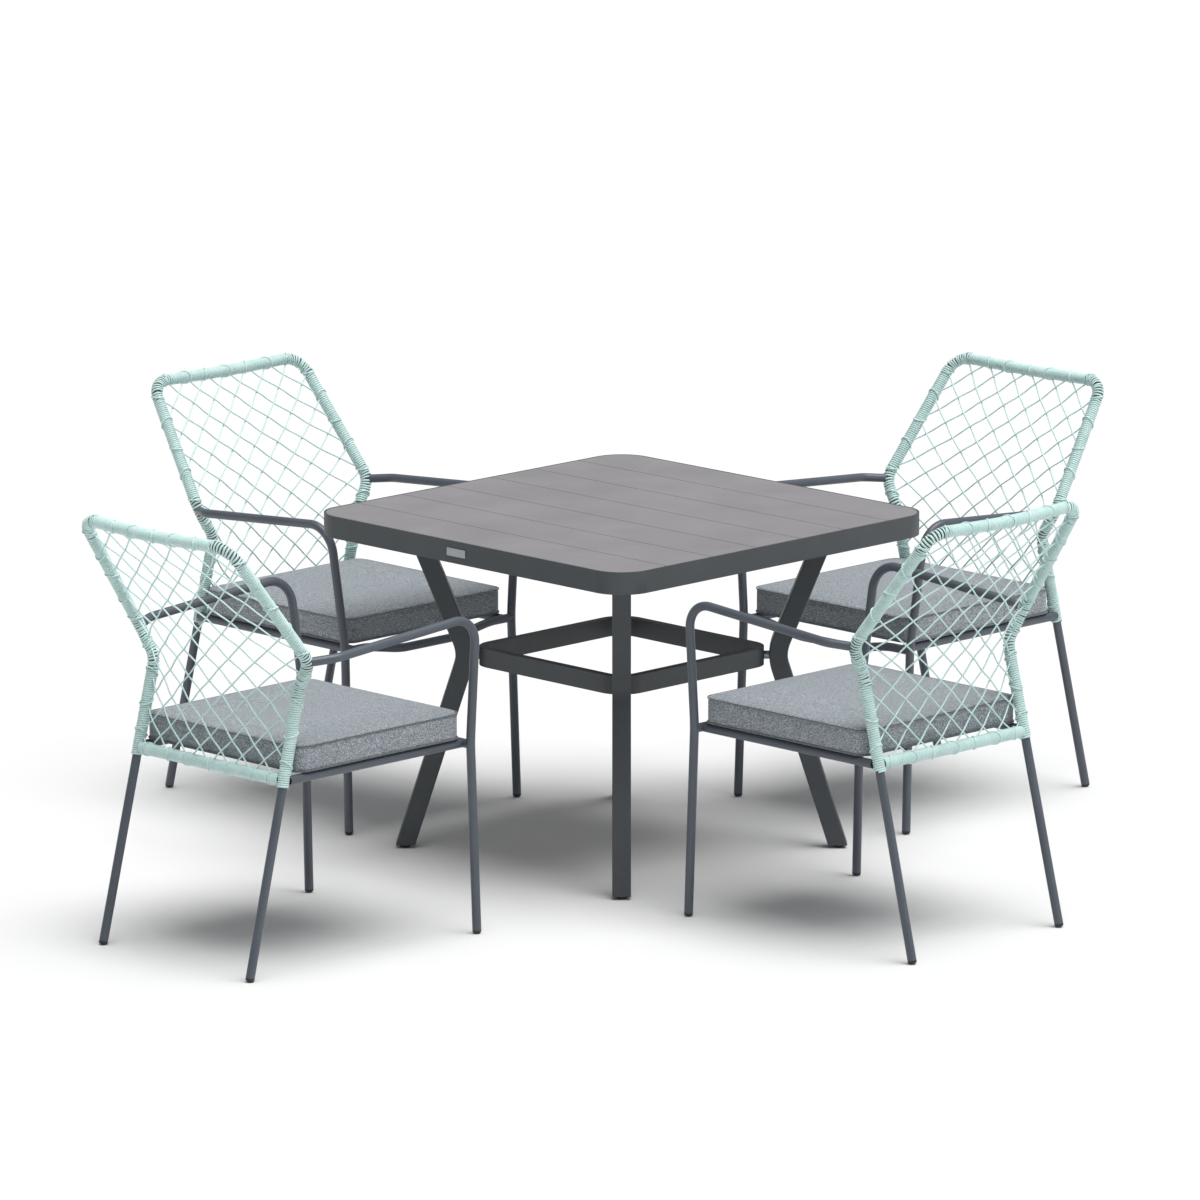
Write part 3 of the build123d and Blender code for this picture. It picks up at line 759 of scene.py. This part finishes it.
def tie(line, share, lean):
    """A slanted ring round the winding, at a share of the line's length."""
    lengths = arc_lengths(line)
    travel = share * lengths[-1]
    middle = at_length(line, lengths, travel)
    ahead = at_length(line, lengths, min(travel + TIE_REACH, lengths[-1]))
    behind = at_length(line, lengths, max(travel - TIE_REACH, 0.0))
    tangent = (ahead - behind).normalized()
    front = (Vector((0, 1, 0)) - tangent * tangent.y).normalized()
    side = tangent.cross(front)
    ring = []
    for i in range(TIE_POINTS):
        angle = 2 * math.pi * i / TIE_POINTS
        away = front * math.cos(angle) + side * math.sin(angle)
        ring.append(middle + away * TIE_ORBIT + tangent * lean * math.cos(angle))
    return ring


tied_edges = (
    (right_edge, MESHES_UP), (left_edge, MESHES_UP),
    (top_edge, MESHES_ACROSS), (bottom_edge, MESHES_ACROSS),
)
for edge, meshes in tied_edges:
    for k in range(meshes):
        lean = TIE_LEAN if k % 2 else -TIE_LEAN
        ring = tie(edge, (k + 0.5) / meshes, lean)
        net_cords.add(ring, NET_CORD_RADIUS, NET_CORD_RADIUS, closed=True)
nets = put_on_chairs(net_cords.mesh("back_net", MINT_CORD), "cord_net", "back_net")
print("net faces on each chair:", len(nets[0].data.polygons))

# %% [markdown]
# ## The cushion
# A seat cushion is a block of foam in a box-shaped cover: a top panel, a bottom panel and a strip, the
# boxing, sewn between them. The foam is cut a little larger than the cover. It pushes the panels out
# between the seams, while the seams, four layers of cloth thick, hold their line. So the shape starts
# as a slightly small box, the blank, whose sides are drawn in a little at the middle.

# %% Cushion blank
CUSHION_WIDTH = 474 * MM
CUSHION_DEPTH = 466 * MM
CUSHION_FORWARD = -6 * MM
CUSHION_BOTTOM = 414.0 * MM
SEAM_HEIGHTS = (CUSHION_BOTTOM + 5 * MM, CUSHION_BOTTOM + 57 * MM)
PLAN_CORNER = 30 * MM
WAIST = 0.5 * MM
CORNER_STEPS = 10
SIDE_STEPS = 24
# Inset and rise of each edge row, in millimetres: from the underside, and from the top seam.
LOWER_EDGE = ((9, 0.0), (3, 1.5))
UPPER_EDGE = ((5, 3.5), (16, 5.0))


def compass(turn):
    """The level direction at an angle from +X."""
    return Vector((math.cos(turn), math.sin(turn), 0))


def plan_outline(inset):
    """The cushion seen from above: straight sides drawn in a little, and round corners."""
    half_w, half_d = CUSHION_WIDTH / 2 - inset, CUSHION_DEPTH / 2 - inset
    radius = PLAN_CORNER - inset
    arcs = []
    for quarter, (sx, sy) in enumerate(((1, 1), (-1, 1), (-1, -1), (1, -1))):
        hub = Vector((sx * (half_w - radius), sy * (half_d - radius), 0))
        turns = [math.pi / 2 * (quarter + i / CORNER_STEPS) for i in range(CORNER_STEPS + 1)]
        arcs.append([hub + compass(turn) * radius for turn in turns])
    outline = []
    for quarter, arc in enumerate(arcs):
        outline += arc
        goal = arcs[(quarter + 1) % 4][0]
        inward = -compass(math.pi / 2 * (quarter + 1))
        for i in range(1, SIDE_STEPS):
            share = i / SIDE_STEPS
            outline.append(arc[-1].lerp(goal, share) + inward * WAIST * math.sin(math.pi * share) ** 2)
    return [point + Vector((0, CUSHION_FORWARD, 0)) for point in outline]


def cushion_blank():
    """A closed box with the cushion's plan, its edges at the seams slightly rounded."""
    levels = [(inset * MM, CUSHION_BOTTOM + rise * MM) for inset, rise in LOWER_EDGE]
    levels += [(0.0, height) for height in SEAM_HEIGHTS]
    levels += [(inset * MM, SEAM_HEIGHTS[1] + rise * MM) for inset, rise in UPPER_EDGE]
    shape = bmesh.new()
    rings = []
    for inset, height in levels:
        rings.append([shape.verts.new((p.x, p.y, height)) for p in plan_outline(inset)])
    for below, above in zip(rings, rings[1:]):
        for i in range(len(below)):
            j = (i + 1) % len(below)
            shape.faces.new((below[i], below[j], above[j], above[i]))
    shape.faces.new(list(reversed(rings[0])))
    shape.faces.new(rings[-1])
    mesh = bpy.data.meshes.new("cushion_blank")
    shape.to_mesh(mesh)
    shape.free()
    return mesh


blank = bpy.data.objects.new("cushion_blank", cushion_blank())
bpy.context.scene.collection.objects.link(blank)
print("cushion blank:", [round(size, 3) for size in blank.dimensions])

# %% [markdown]
# The blank is then filled. Its surface is cut into even squares, the points near the two seams are held,
# and a cloth simulation blows the panels out with an inside pressure, until the cloth's own stretch
# stops them. No point may move more than a few millimetres, and the underside stays flat on the seat.

# %% Fill the cushion
VOXEL = 6 * MM
SEAM_HOLD = 4 * MM
SEAM_SIDE_GRIP = 0.6
MOST_MOVE = 9 * MM
FILL_PRESSURE = 4.0
FILL_FRAMES = 20
CLOTH_SETTINGS = {
    "quality": 6,
    "mass": 0.3,
    "tension_stiffness": 15,
    "compression_stiffness": 15,
    "shear_stiffness": 5,
    "bending_stiffness": 0.5,
    "use_pressure": True,
    "uniform_pressure_force": FILL_PRESSURE,
}


def evaluated_mesh(obj):
    """The object's mesh with its modifiers applied."""
    graph = bpy.context.evaluated_depsgraph_get()
    return bpy.data.meshes.new_from_object(obj.evaluated_get(graph))


def remesh(obj, voxel):
    """Even squares all over, so that the cloth stretches alike everywhere."""
    modifier = obj.modifiers.new("even", "REMESH")
    modifier.mode = "VOXEL"
    modifier.voxel_size = voxel
    mesh = evaluated_mesh(obj)
    obj.modifiers.clear()
    obj.data = mesh


def seam_distance(point):
    """How far a point of the cover is from the nearer seam, which runs round the outside edge."""
    inside_x = CUSHION_WIDTH / 2 - abs(point.x)
    inside_y = CUSHION_DEPTH / 2 - abs(point.y - CUSHION_FORWARD)
    if inside_x < PLAN_CORNER and inside_y < PLAN_CORNER:
        rim = PLAN_CORNER - math.hypot(PLAN_CORNER - inside_x, PLAN_CORNER - inside_y)
    else:
        rim = min(inside_x, inside_y)
    return min(math.hypot(max(rim, 0), point.z - height) for height in SEAM_HEIGHTS)


def inflate(obj):
    """Blow the cover up as cloth, with its seams held, and keep every point within reach."""
    before = [vertex.co.copy() for vertex in obj.data.vertices]
    held = obj.vertex_groups.new(name="seams")
    for vertex in obj.data.vertices:
        reach = seam_distance(vertex.co)
        if reach < 2 * SEAM_HOLD:
            held.add([vertex.index], 1.0 if reach < SEAM_HOLD else SEAM_SIDE_GRIP, "REPLACE")
    cloth = obj.modifiers.new("fill", "CLOTH")
    for setting, value in CLOTH_SETTINGS.items():
        setattr(cloth.settings, setting, value)
    cloth.settings.vertex_group_mass = held.name
    cloth.settings.effector_weights.gravity = 0
    cloth.point_cache.frame_end = FILL_FRAMES
    scene = bpy.context.scene
    for number in range(1, FILL_FRAMES + 1):
        scene.frame_set(number)
    mesh = evaluated_mesh(obj)
    obj.modifiers.clear()
    obj.data = mesh
    scene.frame_set(1)
    for vertex, start in zip(mesh.vertices, before):
        move = vertex.co - start
        if move.length > MOST_MOVE:
            vertex.co = start + move * (MOST_MOVE / move.length)


remesh(blank, VOXEL)
inflate(blank)
for vertex in blank.data.vertices:
    vertex.co.z = max(vertex.co.z, CUSHION_BOTTOM)
print("filled cushion:", [round(size, 4) for size in blank.dimensions], "points:", len(blank.data.vertices))

# %% [markdown]
# The cushion is smoothed once by subdivision, which is much cheaper than simulating a finer mesh and
# looks the same. It is then put on each chair, where it lifts off together with its foam core.

# %% Cushions on the chairs
smooth = blank.modifiers.new("smooth", "SUBSURF")
smooth.levels = 1
smooth.render_levels = 1
cushion_mesh = evaluated_mesh(blank)
bpy.data.objects.remove(blank)
cushion_mesh.materials.clear()
cushion_mesh.materials.append(CUSHION_CLOTH)
cushion_mesh.shade_smooth()
cushions = put_on_chairs(cushion_mesh, "cushion", "cushion_cover", body="cushion")
print("cushion faces:", len(cushion_mesh.polygons))

# %% [markdown]
# The top seam is a plain turned seam, which shows as a thin dark line with a rounded lip, and the bottom
# seam has a fine piping of the same cloth. Both are thin tubes laid on the seam line, since the
# inflated mesh is too coarse to hold them. They are drawn in a darker copy of the cloth: that darkness
# is painted shade, for the shade that lies along a seam.

# %% Seams
SEAM_RADII = (2.0 * MM, 1.5 * MM)
SEAM_STAND_OUT = 0.4 * MM
seams = CordMesh(sides=8)
for height, radius in zip(SEAM_HEIGHTS, SEAM_RADII):
    ring = [Vector((p.x, p.y, height)) for p in plan_outline(-SEAM_STAND_OUT)]
    seams.add(ring, radius, radius, closed=True)
piping = put_on_chairs(
    seams.mesh("cushion_piping", SEAM_SHADE_CLOTH), "cushion_piping", "cushion_cover",
    body="cushion",
)
print("piping faces:", len(piping[0].data.polygons))

# %% [markdown]
# ## Table edges
# Extruded and sprayed aluminium has no knife edges: a plank's long edges are rounded by about a
# millimetre, and that thin round is what catches the light between planks. The planks and the apron
# keep their CAD shape. Their triangles are merged into flat faces, and a bevel rounds each sharp edge.


# %% Soft edges
SHARP_EDGE = math.radians(35)
FLAT_FACE = math.radians(0.5)
SAME_POINT = 0.01 * MM
PLANK_ROUND = 0.9 * MM
APRON_ROUND = 0.8 * MM


def soft_edged(node, piece, material, width):
    """A copy of a CAD part with its sharp edges rounded, in place of that part."""
    mesh = frame["nodes"][node].data.copy()
    shape = bmesh.new()
    shape.from_mesh(mesh)
    bmesh.ops.remove_doubles(shape, verts=shape.verts, dist=SAME_POINT)
    bmesh.ops.dissolve_limit(shape, angle_limit=FLAT_FACE, verts=shape.verts, edges=shape.edges)
    shape.to_mesh(mesh)
    shape.free()
    part = bpy.data.objects.new(piece, mesh)
    bpy.context.scene.collection.objects.link(part)
    bevel = part.modifiers.new("round", "BEVEL")
    bevel.width = width
    bevel.segments = 3
    bevel.limit_method = "ANGLE"
    bevel.angle_limit = SHARP_EDGE
    bevel.harden_normals = True
    part.data = evaluated_mesh(part)
    part.modifiers.clear()
    part.data.materials.clear()
    part.data.materials.append(material)
    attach(part, "table")
    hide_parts(node)
    return part


planks = soft_edged("table_planks", "planks", WARM_GREY_COAT, PLANK_ROUND)
apron = soft_edged("table_apron_frame", "apron", CHARCOAL_COAT, APRON_ROUND)
print("plank faces:", len(planks.data.polygons), "apron faces:", len(apron.data.polygons))

# %% [markdown]
# ## Floor, light and camera
# The set stands on a plain, matt, pale floor, so wide that its far edge stays out of sight even from a
# low camera. It lies a millimetre below the feet, so that the two surfaces never fight.

# %% Floor
FLOOR_SIZE = 400.0
FLOOR_TONES = ("D8D8D8", "DEDEDE")
FLOOR_DRIFT_MM = 600
FLOOR_DROP = 0.001
floor_mesh = bpy.data.meshes.new("floor")
half = FLOOR_SIZE / 2
floor_corners = [(-half, -half, 0), (half, -half, 0), (half, half, 0), (-half, half, 0)]
floor_mesh.from_pydata(floor_corners, [], [(0, 1, 2, 3)])
pale_floor, floor_tree, floor_shader, floor_place = new_finish("matt_pale_floor", Roughness=0.9)
tint = add_node(floor_tree, "TexNoise", Vector=floor_place, Scale=per_metre(FLOOR_DRIFT_MM), Detail=2.0)
floor_colour = blend_colours(floor_tree, tint.outputs["Fac"], *map(linear, FLOOR_TONES))
floor_tree.links.new(floor_colour, floor_shader.inputs["Base Color"])
floor_mesh.materials.append(pale_floor)
floor = bpy.data.objects.new("floor", floor_mesh)
floor.location.z = -FLOOR_DROP
bpy.context.scene.collection.objects.link(floor)
print("floor:", FLOOR_SIZE, "m square")

# %% [markdown]
# The light is soft and comes from above. One very wide, even lamp, a sun lamp spread over fifty degrees,
# lights the tops and the whole floor alike, as a studio's ceiling softbox does. Two weak lamps at the
# sides bring out the edges, and a dim even sky keeps the shadows open.

# %% Lamps and sky
TABLE_LOW, TABLE_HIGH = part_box("table_planks")
TABLE_MIDDLE = Vector(((TABLE_LOW.x + TABLE_HIGH.x) / 2, (TABLE_LOW.y + TABLE_HIGH.y) / 2, 0))
LAMP_AIM = Vector((0, 0, 0.5))
LAMP_SIZE = 3.0
LEFT_LAMP_PLACE, LEFT_LAMP_POWER = Vector((-5.0, -1.0, 2.6)), 3
RIGHT_LAMP_PLACE, RIGHT_LAMP_POWER = Vector((1.0, -5.0, 2.2)), 24
SUN_STRENGTH = 3.7
SUN_SPREAD = math.radians(50)
SUN_TILT = (math.radians(14), math.radians(4), 0)
SKY_STRENGTH = 0.33


def area_lamp(name, offset, power):
    """A square soft lamp that points at the set."""
    lamp = bpy.data.lights.new(name, "AREA")
    lamp.shape = "SQUARE"
    lamp.size = LAMP_SIZE
    lamp.energy = power
    lamp_object = bpy.data.objects.new(name, lamp)
    lamp_object.location = TABLE_MIDDLE + offset
    aim = TABLE_MIDDLE + LAMP_AIM - lamp_object.location
    lamp_object.rotation_euler = aim.to_track_quat("-Z", "Y").to_euler()
    bpy.context.scene.collection.objects.link(lamp_object)
    return lamp_object


lamps = [
    area_lamp("left_lamp", LEFT_LAMP_PLACE, LEFT_LAMP_POWER),
    area_lamp("right_lamp", RIGHT_LAMP_PLACE, RIGHT_LAMP_POWER),
]
sun = bpy.data.lights.new("overhead_softbox", "SUN")
sun.energy = SUN_STRENGTH
sun.angle = SUN_SPREAD
sun_object = bpy.data.objects.new("overhead_softbox", sun)
sun_object.rotation_euler = SUN_TILT
bpy.context.scene.collection.objects.link(sun_object)
sky = bpy.data.worlds.new("bright_even_sky")
sky.use_nodes = True
background = sky.node_tree.nodes["Background"]
background.inputs["Color"].default_value = linear("FFFFFF")
background.inputs["Strength"].default_value = SKY_STRENGTH
bpy.context.scene.world = sky
bpy.context.scene.view_settings.view_transform = "Standard"
print("lamps:", [lamp.name for lamp in lamps], "and", sun_object.name)

# %% [markdown]
# The camera looks at a corner of the table from far off through a long lens, which keeps lines that are
# parallel on the set nearly parallel in the render. It stands above the table top and dips to it.

# %% Camera
CAMERA_DISTANCE = 20.0
CAMERA_HEIGHT = 4.793
CAMERA_DIP = math.radians(11.99)
CAMERA_LENS = 284.5
CAMERA_SHIFT = -0.018
SENSOR_WIDTH = 36.0
FARTHEST_SEEN = 600.0
away = Vector((1, 1, 0)).normalized()
camera_data = bpy.data.cameras.new("camera")
camera_data.lens = CAMERA_LENS
camera_data.sensor_width = SENSOR_WIDTH
camera_data.clip_end = FARTHEST_SEEN
camera = bpy.data.objects.new("camera", camera_data)
camera.location = TABLE_MIDDLE - away * CAMERA_DISTANCE + Vector((0, 0, CAMERA_HEIGHT))
aim = away * math.cos(CAMERA_DIP) - Vector((0, 0, math.sin(CAMERA_DIP)))
camera.rotation_euler = aim.to_track_quat("-Z", "Y").to_euler()
camera_data.shift_x = CAMERA_SHIFT
bpy.context.scene.collection.objects.link(camera)
bpy.context.scene.camera = camera
print("camera at", [round(c, 2) for c in camera.location])
